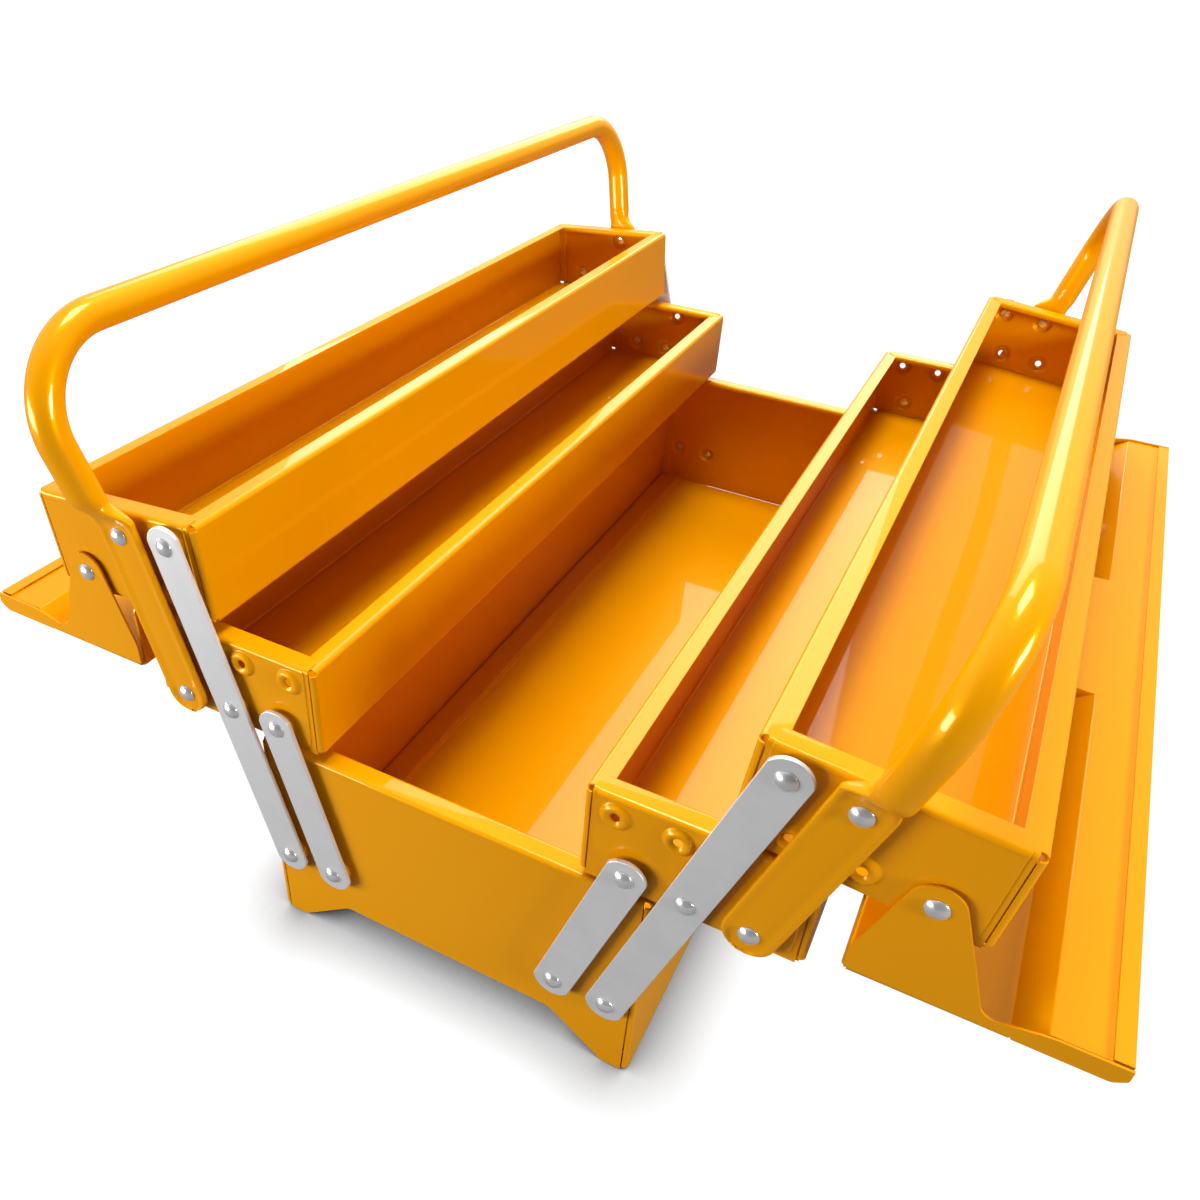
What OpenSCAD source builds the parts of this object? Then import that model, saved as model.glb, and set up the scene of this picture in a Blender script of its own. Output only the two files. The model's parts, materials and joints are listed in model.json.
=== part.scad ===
// Five compartment cantilever tool box in folded sheet steel, standing open.
// X runs across the box, Y along it and Z up. The origin is the centre of its footprint.
// Each moving piece is drawn where it stands with both sides opened out.

/* [Base] */
// Length over the end plates
base_l = 525; // [420:5:640]
// Width of the base
base_w = 200; // [180:2:220]
// Height of the base to its rim
base_h = 120.5; // [110:0.5:140]
// Height of the floor above the ground
floor_z = 24; // [22.5:0.5:32]
// Height of the arch cut in each end plate
arch_h = 22; // [12:0.5:22]
// Width of each corner foot under the arch
foot_w = 13.5; // [10:0.5:24]
// Run of the sloping part of the arch
arch_run = 29; // [20:1:40]
// Width of the flange that the sides turn in at the ground
foot_flange = 12; // [8:0.5:16]

/* [Trays] */
// Height of each tray
tray_h = 48.5; // [44:0.5:56]
// Gap between the folded trays and the middle of the box
centre_gap = 4; // [3:0.5:8]
// How far the trays stand inside the base sides when folded
side_inset = 1; // [0:0.5:4]
// Gap between one folded layer and the next
stack_gap = 1; // [0.6:0.1:2]
// Width of the rim turned in along the long sides
rim_w = 9; // [6:0.5:12]
// Width of the rim turned in at the ends
end_rim_w = 10.5; // [8:0.5:14]
// Drop of the rim's turned down lip at the ends
end_lip = 3; // [2:0.5:5]

/* [Sheet] */
// Thickness of the steel sheet
sheet = 1; // [0.7:0.1:1.2]
// Inside radius of a fold
fold_r = 1.2; // [0.6:0.1:2]
// Width of the sheet that the long sides wrap round each corner
wrap_w = 2.8; // [2.2:0.1:5]
// Open slit between that wrap and the end plate
slit = 0.4; // [0.2:0.1:0.8]
// Height of the relief notch at the top and bottom of each corner
notch_h = 2.4; // [1.5:0.1:4]

/* [Arms] */
// Distance from the base pivot to the middle tray pivot
arm_lower = 89; // [82:0.5:98]
// Width of the flat arms
arm_w = 18; // [14:0.5:20]
// Thickness of the flat arms
arm_t = 2; // [1.5:0.1:3]
// Radius of the rounded arm ends about their pivots
arm_end_r = 9.6; // [9.2:0.1:10.4]
// Distance between two pivots side by side
pitch = 26; // [24:0.5:30]
// Distance of the base pivot from the base side
base_pivot_inset = 13; // [12:0.5:18]
// Height of the lower row of pivots in a tray end
low_pivot_z = 11.1; // [10:0.1:14]
// Height of the upper row of pivots in a tray end
high_pivot_z = 38.9; // [36:0.1:41]
// Lean of the left arms from upright, standing open
left_open_deg = 15.1; // [8:0.1:22]
// Lean of the right arms from upright, standing open
right_open_deg = 17.8; // [8:0.1:22]
// Droop of the opened top trays, from the play in their rivets
droop_deg = 5; // [0:0.5:6]

/* [Lids] */
// Height of a closed lid's raised panel over the lid pivots
lid_rise = 48; // [47:0.5:54]
// Width of the lower strip along the lid's free edge
strip_w = 26; // [18:1:32]
// Run of the sloping step between strip and panel
step_run = 11; // [6:0.5:14]
// Length of the finger recess in the step
recess_l = 112; // [80:2:160]
// Depth of the finger recess across the lid
recess_w = 22; // [14:1:28]
// Width of the hem along the free edge
hem_w = 6.5; // [4:0.5:9]
// Drop of the lid's outer skirt
skirt_h = 35.5; // [24:0.5:36]
// Radius of the ear round the lid pivot
ear_r = 10; // [8:0.5:11]

/* [Handles] */
// Outside diameter of the handle tube
tube_d = 15; // [13:0.5:16]
// Width of the flattened tube end
flat_w = 22; // [19:0.5:23]
// Thickness of the flattened tube end
flat_t = 2.4; // [1.8:0.1:3]
// Radius of the rolled edges of the flattened end
bead_r = 1.5; // [1.2:0.1:2]
// Reach of the grip from the upper handle rivet
grip_reach = 86; // [80:1:110]
// Lean of the tube legs against the flattened ends
leg_lean_deg = -3.3; // [-5:0.1:0]
// Outward set of the tube from the line of the rivets
leg_offset = 3.6; // [2:0.1:6]
// Flare of the tube legs away from the box ends
leg_flare_deg = 8.4; // [4:0.1:12]
// Bend radius of the handle corners
bend_r = 39; // [30:1:45]

/* [Rivets] */
// Diameter of the rivet shanks
shank_d = 4.5; // [3.5:0.1:5]
// Diameter of the domed heads
head_d = 8.6; // [7.5:0.1:10]
// Height of the domed heads
head_h = 2.3; // [1.5:0.1:3]
// Diameter of the peened tails
tail_d = 6.4; // [5.5:0.1:7]
// Height of the peened tails
tail_h = 1.2; // [0.8:0.1:1.8]
// Diameter of an embossed boss at its foot
boss_d = 14; // [12:0.5:15]
// Height of the bosses that carry arms and handles
boss_h = 2.8; // [2.4:0.1:3.6]
// Height of the bosses that carry the lids
lid_boss_h = 1.5; // [1:0.1:1.5]

/* [Hidden] */

$fn = 48;
// Overrun of every cut past the face that it opens
cut = 0.5;
// Radial clearance of a rivet shank in the piece that turns on it
running = 0.08;
// Clearance between faces that slide past each other
slide_gap = 0.3;
// Clearance between a rivet head and the piece under it
head_gap = 0.1;
// Run of the upright corner fold along the side before the end plane
corner_run = 6;
// Width of the joggled edge of an end plate behind the wraps
joggle_w = 6;
// Rounding of the top corners of the arch
arch_r = 8;
// Taper of a boss from foot to top
boss_taper = 2.2;
// Chamfer at the lower corner of a lid's free edge
tip_cut = 6;
// Clearance of a closed lid round its tray
lid_gap = 0.5;
// Depth left under the notch between ear and strip
notch_rise = 5.2;
// Reach of the notch from the lid pivot
notch_run = 31;
// Reach of the ear's free side at the notch
ear_run = 25.5;
// Draw of the tube's straight legs, by which they are finer than its bends
draw = 0.15;
// Radius of the neck at its root, before it is pressed flat
neck_r = 11;
// Start of the neck above the upper handle rivet
neck_from = 4.5;
// Length of the neck from the upper handle rivet to the full tube
neck_l = 17;

steel_paint = [1, 0.62, 0.03];
steel_paint_shade = [0.88, 0.53, 0.02];
zinc = [0.74, 0.75, 0.77];
bright_zinc = [0.86, 0.87, 0.88];

half_l = base_l / 2;
half_w = base_w / 2;
half_sheet = sheet / 2;
tray_w = half_w - centre_gap - side_inset;

// Folding geometry. Angles are measured outward from upright.
arm_x = half_w - base_pivot_inset;
mid_pivot_x = tray_w / 2;
closed_deg = asin((centre_gap + mid_pivot_x - arm_x) / arm_lower);
arm_z = base_h + stack_gap + low_pivot_z - arm_lower * cos(closed_deg);
arm_upper = (tray_h + stack_gap + high_pivot_z - low_pivot_z) / cos(closed_deg);
top_pivot_x = mid_pivot_x + arm_upper * sin(closed_deg);
lid_pivot_x = mid_pivot_x + pitch;

// Pivots of a tray end, in the tray's own frame
low_pivots = [mid_pivot_x - pitch, mid_pivot_x];
high_pivots = [top_pivot_x, top_pivot_x + pitch];

// Layers outward from the end plates
arm_n = boss_h + slide_gap;
flat_n = arm_n + bead_r - flat_t / 2;
lid_n = lid_boss_h + slide_gap;

function open_deg(s) = s < 0 ? left_open_deg : right_open_deg;
function along(a) = [sin(a), cos(a)];
function base_long() = [arm_x, arm_z];
function base_short() = [arm_x - pitch, arm_z];
function mid_long(s) = base_long() + arm_lower * along(open_deg(s));
function mid_short(s) = mid_long(s) - [pitch, 0];
function mid_handle(s) = mid_long(s) + [pitch, 0];
function top_long(s) = mid_long(s) + arm_upper * along(open_deg(s));
function tilt(p) = [p[0] * cos(droop_deg) + p[1] * sin(droop_deg),
                    p[1] * cos(droop_deg) - p[0] * sin(droop_deg)];
function top_point(s, p) = top_long(s) + tilt(p - [top_pivot_x, high_pivot_z]);
function top_handle(s) = top_point(s, [top_pivot_x + pitch, high_pivot_z]);
function lid_pivot(s) = top_point(s, [lid_pivot_x, low_pivot_z]);
// Shift of the upper handle rivet in the handle's own frame, which its wide hole takes up
function play(s) = let(v = tilt([pitch, 0]) - [pitch, 0], a = open_deg(s))
    [v[0] * cos(a) - v[1] * sin(a), v[0] * sin(a) + v[1] * cos(a)];

// Draws for the right side, or mirrored for the left
module side(s) {
    mirror([s < 0 ? 1 : 0, 0, 0]) children();
}

// Places a piece drawn flat in X and Z, with Z for outward, at the front or rear end
module end_place(e) {
    mirror([0, e > 0 ? 1 : 0, 0])
        translate([0, -half_l, 0])
            rotate([90, 0, 0])
                children();
}

// Draws a section in X and Z along the length of the box
module lengthwise(l) {
    rotate([90, 0, 0])
        linear_extrude(l, center = true)
            children();
}

// Points along an arc
function arc(centre, r, from, to) = let(n = 6)
    [for (i = [0 : n]) let(a = from + (to - from) * i / n) centre + r * [cos(a), sin(a)]];

function left_of(u) = [-u[1], u[0]];

// One face of a fold about point p, where the middle line turns from u to v
function fold_arc(p, u, v, t, r, face) = let(
    hand = u[0] * v[1] - u[1] * v[0] > 0 ? 1 : -1,
    turn = acos(max(-1, min(1, u * v))),
    mid_r = r + t / 2,
    centre = p - u * mid_r * tan(turn / 2) + hand * mid_r * left_of(u),
    from = atan2(-hand * u[0], hand * u[1]))
    arc(centre, mid_r - hand * face * t / 2, from, from + hand * turn);

// One face of a folded sheet, at half its thickness from the middle line
function sheet_face(pts, t, r, face) = let(
    n = len(pts),
    u = [for (i = [0 : n - 2]) (pts[i + 1] - pts[i]) / norm(pts[i + 1] - pts[i])])
    concat([pts[0] + face * t / 2 * left_of(u[0])],
           [for (i = [1 : n - 2]) each fold_arc(pts[i], u[i - 1], u[i], t, r, face)],
           [pts[n - 1] + face * t / 2 * left_of(u[n - 2])]);

// Folded sheet along a line of points, with round folds between its legs
module folded(pts, t, r) {
    back = sheet_face(pts, t, r, -1);
    polygon(concat(sheet_face(pts, t, r, 1), [for (i = [len(back) - 1 : -1 : 0]) back[i]]));
}

// Embossed boss on an end plate, with its hollow left open behind
module boss_solid(p, h) {
    translate([p[0], p[1], -half_sheet])
        cylinder(h = half_sheet, d = boss_d);
    translate([p[0], p[1], 0])
        cylinder(h = h, d1 = boss_d, d2 = boss_d - 2 * boss_taper);
}

module boss_hollow(p, h) {
    inner_d = boss_d - 2 * sheet;
    translate([p[0], p[1], -sheet - cut])
        cylinder(h = cut, d = inner_d);
    translate([p[0], p[1], -sheet])
        cylinder(h = h, d1 = inner_d, d2 = inner_d - 2 * boss_taper + sheet);
    translate([p[0], p[1], -sheet])
        cylinder(h = h + sheet + cut, d = shank_d + 2 * running);
}

// Rivet through a boss: peened tail inside, shank, and domed head outside
module rivet(p, h, head_n) {
    cap_r = (pow(head_d / 2, 2) + pow(head_h, 2)) / (2 * head_h);
    seat_n = h - sheet;
    translate([p[0], p[1], seat_n - tail_h])
        cylinder(h = tail_h, d = tail_d);
    translate([p[0], p[1], seat_n])
        cylinder(h = head_n - seat_n, d = shank_d);
    translate([p[0], p[1], head_n])
        intersection() {
            translate([0, 0, head_h - cap_r])
                sphere(cap_r);
            cylinder(h = head_h, d = head_d);
        }
}

// Base

module base_side(s) {
    x = half_w - half_sheet;
    top = base_h - half_sheet;
    run = base_l - 2 * corner_run;
    color(steel_paint)
        side(s) {
            difference() {
                lengthwise(run)
                    folded([[half_w - rim_w, top], [x, top], [x, half_sheet],
                            [half_w - foot_flange, half_sheet]], sheet, fold_r);
                end_rim_room(half_w, base_h);
            }
            side_corners(x, 0, base_h);
        }
}

// Room cut in the rim of a long side for the rims of both end plates
module end_rim_room(x, top) {
    deep = end_rim_w + slit;
    for (m = [0, 1])
        mirror([0, m, 0])
            translate([x - rim_w - cut, half_l - deep, top - sheet - cut])
                cube([rim_w + cut - wrap_w, deep, sheet + 2 * cut]);
}

// Upright corner folds that wrap a long side round both end planes
module side_corners(x, low, high) {
    y = half_l - half_sheet;
    z0 = low + notch_h;
    for (e = [-1, 1])
        translate([0, 0, z0])
            linear_extrude(high - low - 2 * notch_h)
                folded([[x, e * (half_l - corner_run)], [x, e * y],
                        [x + half_sheet - wrap_w, e * y]], sheet, fold_r);
}

module base_floor() {
    x = half_w - sheet - half_sheet;
    flange = floor_z / 2;
    color(steel_paint_shade)
        lengthwise(base_l - 2 * sheet)
            folded([[-x, floor_z - flange], [-x, floor_z - half_sheet],
                    [x, floor_z - half_sheet], [x, floor_z - flange]], sheet, fold_r);
}

module arch_cut() {
    foot_x = half_w - foot_w;
    top_x = foot_x - arch_run;
    slope = atan2(arch_h, arch_run);
    corner = [top_x - arch_r * tan(slope / 2), arch_h - arch_r];
    half = concat([[0, arch_h]], arc(corner, arch_r, 90, 90 - slope),
                  [[foot_x, 0], [foot_x, -cut], [0, -cut]]);
    for (m = [0, 1])
        mirror([m, 0])
            polygon(half);
}

module base_end(e) {
    edge = half_w - wrap_w - slit;
    color(steel_paint)
        end_place(e)
            difference() {
                union() {
                    translate([0, 0, -sheet])
                        linear_extrude(sheet)
                            difference() {
                                translate([-edge, 0])
                                    square([2 * edge, base_h - fold_r - sheet]);
                                arch_cut();
                            }
                    end_rim(-edge, edge, base_h);
                    for (m = [0, 1])
                        mirror([m, 0, 0])
                            joggle(half_w - sheet, floor_z, base_h - sheet - rim_lip_room());
                    for (s = [-1, 1])
                        for (p = [base_long(), base_short()])
                            boss_solid([s * p[0], p[1]], boss_h);
                }
                for (s = [-1, 1])
                    for (p = [base_long(), base_short()])
                        boss_hollow([s * p[0], p[1]], boss_h);
            }
}

// Height kept free under a rim for its lip
function rim_lip_room() = end_lip + fold_r;

// Rim turned in along the top of an end plate, with its lip turned down
module end_rim(x0, x1, top) {
    z = top - half_sheet;
    translate([x0, 0, 0])
        rotate([90, 0, 90])
            linear_extrude(x1 - x0)
                folded([[z - fold_r - sheet, -half_sheet], [z, -half_sheet],
                        [z, -end_rim_w + half_sheet],
                        [z - end_lip, -end_rim_w + half_sheet]], sheet, fold_r);
}

// Edge of an end plate set back behind the wrap of a long side, clear of its fold
module joggle(x, low, high) {
    translate([x - joggle_w, low, -2 * sheet])
        cube([joggle_w - fold_r, high - low, sheet]);
}

module base_rivets() {
    color(bright_zinc)
        for (e = [-1, 1])
            end_place(e)
                for (s = [-1, 1])
                    for (p = [base_long(), base_short()])
                        rivet([s * p[0], p[1]], boss_h, arm_n + arm_t + head_gap);
}

// Trays, drawn from the inner bottom corner of each

module mid_frame(s) {
    o = mid_long(s) - [mid_pivot_x, low_pivot_z];
    translate([o[0], 0, o[1]]) children();
}

module top_frame(s) {
    p = top_long(s);
    translate([p[0], 0, p[1]])
        rotate([0, droop_deg, 0])
            translate([-top_pivot_x, 0, -high_pivot_z])
                children();
}

module tray_pan() {
    top = tray_h - half_sheet;
    far = tray_w - half_sheet;
    difference() {
        lengthwise(base_l - 2 * corner_run)
            folded([[rim_w, top], [half_sheet, top], [half_sheet, half_sheet],
                    [far, half_sheet], [far, top], [tray_w - rim_w, top]], sheet, fold_r);
        end_rim_room(tray_w, tray_h);
        translate([tray_w, 0, 0])
            mirror([1, 0, 0])
                end_rim_room(tray_w, tray_h);
    }
    lengthwise(base_l - 2 * sheet)
        translate([fold_r + sheet, 0])
            square([tray_w - 2 * fold_r - 2 * sheet, sheet]);
    side_corners(far, 0, tray_h);
    translate([tray_w, 0, 0])
        mirror([1, 0, 0])
            side_corners(far, 0, tray_h);
}

module tray_end(e, lid_boss) {
    edge = wrap_w + slit;
    e_h = lid_boss ? lid_boss_h : boss_h;
    lid_p = [lid_pivot_x, low_pivot_z];
    end_place(e)
        difference() {
            union() {
                translate([edge, 0, -sheet])
                    cube([tray_w - 2 * edge, tray_h - fold_r - sheet, sheet]);
                end_rim(edge, tray_w - edge, tray_h);
                for (x = [joggle_w + fold_r + sheet, tray_w - sheet])
                    joggle(x, sheet + fold_r, tray_h - sheet - rim_lip_room());
                for (x = low_pivots) boss_solid([x, low_pivot_z], boss_h);
                for (x = high_pivots) boss_solid([x, high_pivot_z], boss_h);
                boss_solid(lid_p, e_h);
            }
            for (x = low_pivots) boss_hollow([x, low_pivot_z], boss_h);
            for (x = high_pivots) boss_hollow([x, high_pivot_z], boss_h);
            boss_hollow(lid_p, e_h);
        }
}

module mid_tray_pan(s) {
    color(steel_paint) side(s) mid_frame(s) tray_pan();
}

module mid_tray_end(s, e) {
    color(steel_paint) side(s) mid_frame(s) tray_end(e, false);
}

module mid_tray_rivets(s) {
    arm_head = arm_n + arm_t + head_gap;
    handle_head = flat_n + flat_t + head_gap;
    color(bright_zinc)
        side(s)
            mid_frame(s)
                for (e = [-1, 1])
                    end_place(e) {
                        for (x = low_pivots) rivet([x, low_pivot_z], boss_h, arm_head);
                        rivet([lid_pivot_x, low_pivot_z], boss_h, handle_head);
                    }
}

module top_tray_pan(s) {
    color(steel_paint) side(s) top_frame(s) tray_pan();
}

module top_tray_end(s, e) {
    color(steel_paint) side(s) top_frame(s) tray_end(e, true);
}

module top_tray_rivets(s) {
    color(bright_zinc)
        side(s)
            top_frame(s)
                for (e = [-1, 1])
                    end_place(e) {
                        rivet([top_pivot_x, high_pivot_z], boss_h, arm_n + arm_t + head_gap);
                        rivet([top_pivot_x + pitch, high_pivot_z], boss_h,
                              flat_n + flat_t + head_gap);
                        rivet([lid_pivot_x, low_pivot_z], lid_boss_h,
                              lid_n + sheet + head_gap);
                    }
}

// Arms, drawn up from their lowest pivot

module arm(length, holes) {
    translate([0, 0, arm_n])
        linear_extrude(arm_t)
            difference() {
                union() {
                    translate([-arm_w / 2, 0])
                        square([arm_w, length]);
                    for (y = [0, length])
                        translate([0, y])
                            intersection() {
                                circle(arm_end_r);
                                square([arm_w, 2 * arm_end_r], center = true);
                            }
                }
                for (y = holes)
                    translate([0, y])
                        circle(shank_d / 2 + running);
            }
}

module arm_frame(s, e, p) {
    side(s)
        end_place(e)
            translate(p)
                rotate(-open_deg(s))
                    children();
}

module long_arm(s, e) {
    color(zinc)
        arm_frame(s, e, base_long())
            arm(arm_lower + arm_upper, [0, arm_lower, arm_lower + arm_upper]);
}

module short_arm(s, e) {
    color(zinc) arm_frame(s, e, base_short()) arm(arm_lower, [0, arm_lower]);
}

// Handles: a bent tube with flattened ends

// Wide hole that takes up the play of the upper handle rivet
module play_hole(v) {
    translate(v / 2)
        circle((shank_d + norm(v)) / 2 + running);
}

module flat_outline(l, r) {
    translate([-r, 0])
        square([2 * r, l]);
    for (y = [0, l])
        translate([0, y])
            circle(r);
}

// Round bead along both sides and round the foot of a flattened end
module bead(l, r) {
    for (x = [-r, r])
        translate([x, 0, 0])
            rotate([-90, 0, 0])
                cylinder(h = l, r = bead_r);
    rotate([0, 0, 180])
        rotate_extrude(angle = 180)
            translate([r, 0])
                circle(bead_r);
}

module flattened_end(s) {
    l = arm_upper;
    r = flat_w / 2 - bead_r;
    difference() {
        union() {
            translate([0, 0, flat_n])
                linear_extrude(flat_t)
                    flat_outline(l, r);
            translate([0, 0, arm_n + bead_r])
                bead(l, r);
        }
        translate([0, 0, arm_n - cut])
            linear_extrude(2 * bead_r + 2 * cut) {
                circle(shank_d / 2 + running);
                translate([0, l]) play_hole(play(s));
            }
    }
}

function leg_start() = arm_n + tube_d / 2 + slide_gap;
function arc_z() = grip_reach - bend_r;
function leg_end_z() = arc_z() - bend_r * sin(leg_flare_deg);
function leg_end_n() = leg_start() + (leg_end_z() - neck_l) * tan(leg_flare_deg);
function arc_n() = leg_end_n() - bend_r * cos(leg_flare_deg);

// Frame of the tube: Z up the legs from the upper handle rivet, in the plane of the bend
module tube_frame(s) {
    p = mid_handle(s) + arm_upper * along(open_deg(s));
    translate([p[0], 0, p[1]])
        rotate([0, open_deg(s) + leg_lean_deg, 0])
            translate([leg_offset, 0, 0])
                children();
}

// Half of the grip, the bend and the leg of one end
module half_tube() {
    grip_half = half_l + arc_n();
    leg_l = (leg_end_z() - neck_l) / cos(leg_flare_deg);
    translate([0, -grip_half, arc_z()]) {
        translate([0, 0, bend_r])
            rotate([-90, 0, 0])
                cylinder(h = grip_half, d = tube_d);
        rotate([0, 90, 0])
            rotate([0, 0, 180])
                rotate_extrude(angle = 90 + leg_flare_deg)
                    translate([bend_r, 0])
                        circle(d = tube_d);
        rotate([leg_flare_deg, 0, 0])
            translate([0, -bend_r, -leg_l])
                cylinder(h = leg_l + slide_gap, d = tube_d - 2 * draw);
    }
}

// Neck between a flattened end and its leg: a cone pressed flat towards its root
module neck() {
    foot_n = leg_start();
    full = tube_d / 2 + slide_gap;
    intersection() {
        translate([0, -half_l - foot_n, neck_l])
            rotate([leg_flare_deg, 0, 0])
                translate([0, 0, -neck_l])
                    cylinder(h = neck_l + slide_gap, r1 = neck_r, r2 = tube_d / 2 - 2 * draw);
        rotate([90, 0, 90])
            linear_extrude(4 * neck_r, center = true)
                polygon([for (p = [[flat_n + head_gap, neck_from],
                                   [flat_n + flat_t - head_gap, neck_from],
                                   [foot_n + full, neck_l - sheet],
                                   [foot_n + full, neck_l + tube_d],
                                   [foot_n - full, neck_l + tube_d],
                                   [foot_n - full, neck_l - sheet]])
                             [-half_l - p[0], p[1]]]);
    }
}

module handle(s) {
    color(steel_paint)
        side(s)
            for (e = [0, 1]) {
                end_place(e)
                    translate(mid_handle(s))
                        rotate(-open_deg(s))
                            flattened_end(s);
                mirror([0, e, 0])
                    tube_frame(s) {
                        neck();
                        half_tube();
                    }
            }
}

// Lids, drawn closed in the frame of their tray and turned over about their pivots

panel_z = low_pivot_z + lid_rise;
strip_z = tray_h + lid_gap + sheet + slide_gap / 2 + sheet;
lid_l = base_l + 2 * lid_n;

module lid_section(step_from) {
    mid_p = panel_z - half_sheet;
    mid_s = strip_z - half_sheet;
    x = tray_w + lid_gap + half_sheet;
    folded([[x, panel_z - skirt_h], [x, mid_p], [step_from + step_run, mid_p],
            [step_from, mid_s], [0, mid_s]], sheet, fold_r);
}

module lid_hem() {
    top = strip_z - sheet - slide_gap / 2;
    translate([0, top - sheet])
        square([hem_w, sheet]);
    translate([0, top - sheet])
        square([half_sheet, strip_z - top + half_sheet]);
}

module lid_end_outline() {
    pivot = [lid_pivot_x, low_pivot_z];
    out_x = tray_w + lid_gap + sheet;
    low = strip_z - 2 * sheet - slide_gap / 2;
    difference() {
        polygon(concat(
            arc(pivot, ear_r, 180 + ear_lean(), 360 - ear_lean() / 2),
            [[out_x, panel_z - tray_h / 3],
             [out_x, panel_z],
             [tip_cut, panel_z],
             [0, panel_z - tip_cut],
             [0, low],
             [strip_w, low],
             [lid_pivot_x - notch_run, panel_z - notch_rise],
             [lid_pivot_x - ear_run, low]]));
        translate(pivot)
            circle(shank_d / 2 + running);
    }
}

// Lean of the ear's free side from upright
function ear_lean() = atan2(ear_run - ear_r, lid_rise - notch_rise);

// Wall that closes one end of the finger recess, between the middle lines of the sheet
module lid_recess_wall(y) {
    low = strip_z - half_sheet;
    high = panel_z - half_sheet;
    translate([0, y, 0])
        lengthwise(sheet)
            polygon([[strip_w, low], [strip_w + recess_w, low],
                     [strip_w + recess_w + step_run, high], [strip_w + step_run, high]]);
}

module closed_lid() {
    inside_l = lid_l + sheet;
    outer = (inside_l - recess_l) / 2;
    for (m = [-1, 1])
        translate([0, m * (recess_l + outer) / 2, 0])
            lengthwise(outer)
                lid_section(strip_w);
    lengthwise(recess_l) lid_section(strip_w + recess_w);
    lengthwise(inside_l) lid_hem();
    for (m = [-1, 1]) lid_recess_wall(m * recess_l / 2);
    for (e = [-1, 1])
        end_place(e)
            translate([0, 0, lid_n])
                linear_extrude(sheet)
                    lid_end_outline();
}

module lid(s) {
    p = lid_pivot(s);
    color(steel_paint)
        side(s)
            translate([p[0], 0, p[1]])
                rotate([0, 180, 0])
                    translate([-lid_pivot_x, 0, -low_pivot_z])
                        closed_lid();
}

base_side(-1);  // base_side_left
base_side(1);  // base_side_right
base_floor();
base_end(-1);  // base_end_front
base_end(1);  // base_end_rear
base_rivets();
mid_tray_pan(-1);  // left_mid_tray_pan
mid_tray_end(-1, -1);  // left_mid_tray_end_front
mid_tray_end(-1, 1);  // left_mid_tray_end_rear
mid_tray_rivets(-1);  // left_mid_tray_rivets
top_tray_pan(-1);  // left_top_tray_pan
top_tray_end(-1, -1);  // left_top_tray_end_front
top_tray_end(-1, 1);  // left_top_tray_end_rear
top_tray_rivets(-1);  // left_top_tray_rivets
lid(-1);  // left_lid
handle(-1);  // left_handle
long_arm(-1, -1);  // left_long_arm_front
long_arm(-1, 1);  // left_long_arm_rear
short_arm(-1, -1);  // left_short_arm_front
short_arm(-1, 1);  // left_short_arm_rear
mid_tray_pan(1);  // right_mid_tray_pan
mid_tray_end(1, -1);  // right_mid_tray_end_front
mid_tray_end(1, 1);  // right_mid_tray_end_rear
mid_tray_rivets(1);  // right_mid_tray_rivets
top_tray_pan(1);  // right_top_tray_pan
top_tray_end(1, -1);  // right_top_tray_end_front
top_tray_end(1, 1);  // right_top_tray_end_rear
top_tray_rivets(1);  // right_top_tray_rivets
lid(1);  // right_lid
handle(1);  // right_handle
long_arm(1, -1);  // right_long_arm_front
long_arm(1, 1);  // right_long_arm_rear
short_arm(1, -1);  // right_short_arm_front
short_arm(1, 1);  // right_short_arm_rear
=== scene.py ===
"""Cantilever tool box in folded, enamelled sheet steel, built around its packed frame."""

import json
import math

import bmesh
import bpy
from bpy.props import (
    FloatProperty,
    FloatVectorProperty,
    IntProperty,
    PointerProperty,
)
from mathutils import Matrix, Vector


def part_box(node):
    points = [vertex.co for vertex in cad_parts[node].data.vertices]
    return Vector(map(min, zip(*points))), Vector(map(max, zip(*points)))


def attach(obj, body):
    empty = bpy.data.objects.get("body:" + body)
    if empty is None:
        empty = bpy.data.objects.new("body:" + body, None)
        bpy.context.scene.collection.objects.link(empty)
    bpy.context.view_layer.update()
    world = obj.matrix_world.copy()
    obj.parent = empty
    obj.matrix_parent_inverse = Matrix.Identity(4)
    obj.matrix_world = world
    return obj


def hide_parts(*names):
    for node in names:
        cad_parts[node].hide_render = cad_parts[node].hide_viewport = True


bl_info = {
    "name": "Cantilever tool box",
    "version": (1, 0, 0),
    "blender": (4, 5, 0),
    "location": "3D View > Sidebar > Tool Box",
    "description": "Builds the sheet metal, arms, handles and rivets of a cantilever tool box",
    "category": "Add Mesh",
}

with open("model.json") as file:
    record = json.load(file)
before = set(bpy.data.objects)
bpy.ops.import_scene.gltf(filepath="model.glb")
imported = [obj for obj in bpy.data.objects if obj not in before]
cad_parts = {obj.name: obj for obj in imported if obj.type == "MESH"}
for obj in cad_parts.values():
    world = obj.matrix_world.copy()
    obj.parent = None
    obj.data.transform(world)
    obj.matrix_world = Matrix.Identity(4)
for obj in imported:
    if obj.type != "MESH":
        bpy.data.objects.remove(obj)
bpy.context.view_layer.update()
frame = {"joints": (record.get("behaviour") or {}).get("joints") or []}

MM = 0.001
SIDES = {"left": -1, "right": 1}
ENDS = {"front": -1, "rear": 1}
JOINTS = {joint["name"]: joint for joint in frame["joints"]}

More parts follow.
